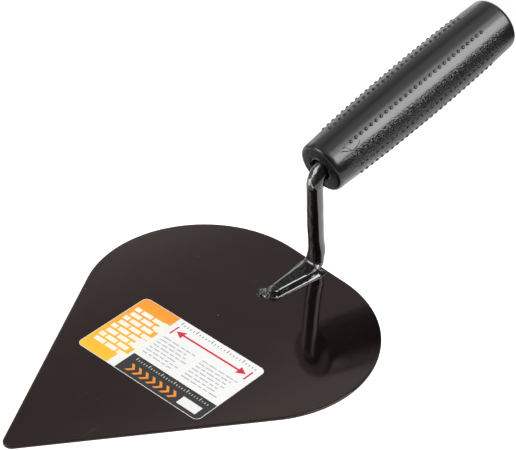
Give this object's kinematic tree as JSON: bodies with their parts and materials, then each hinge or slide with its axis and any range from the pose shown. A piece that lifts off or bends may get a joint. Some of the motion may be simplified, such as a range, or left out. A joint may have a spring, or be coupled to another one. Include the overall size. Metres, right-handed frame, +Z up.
{
  "type": "brick trowel",
  "caption": "Bricklayer's trowel: a flat heart-shaped steel blade on a cranked round tang with a moulded barrel handle.",
  "frame": {"origin": "on the blade's flat underside, in the middle plane, below the neck of the tang", "axes": "+X towards the blade's tip, +Y to the left of the blade, +Z up, from the blade towards the handle"},
  "size_m": [0.3136, 0.1542, 0.1047],
  "materials": {
    "blade_paint": "gloss black stoving paint on sheet steel",
    "tang_paint": "gloss black paint on forged steel rod",
    "weld_paint": "black paint over a lumpy weld bead",
    "handle_plastic": "satin moulded plastic with rows of small round nubs",
    "label_paper": "printed semi-gloss sticker, half white, half orange and black"
  },
  "bodies": {
    "root": {"blade": "blade_paint", "tang": "tang_paint", "weld_left": "weld_paint", "weld_right": "weld_paint", "weld_nose": "weld_paint", "handle": "handle_plastic", "size_label": "label_paper"}
  },
  "joints": []
}
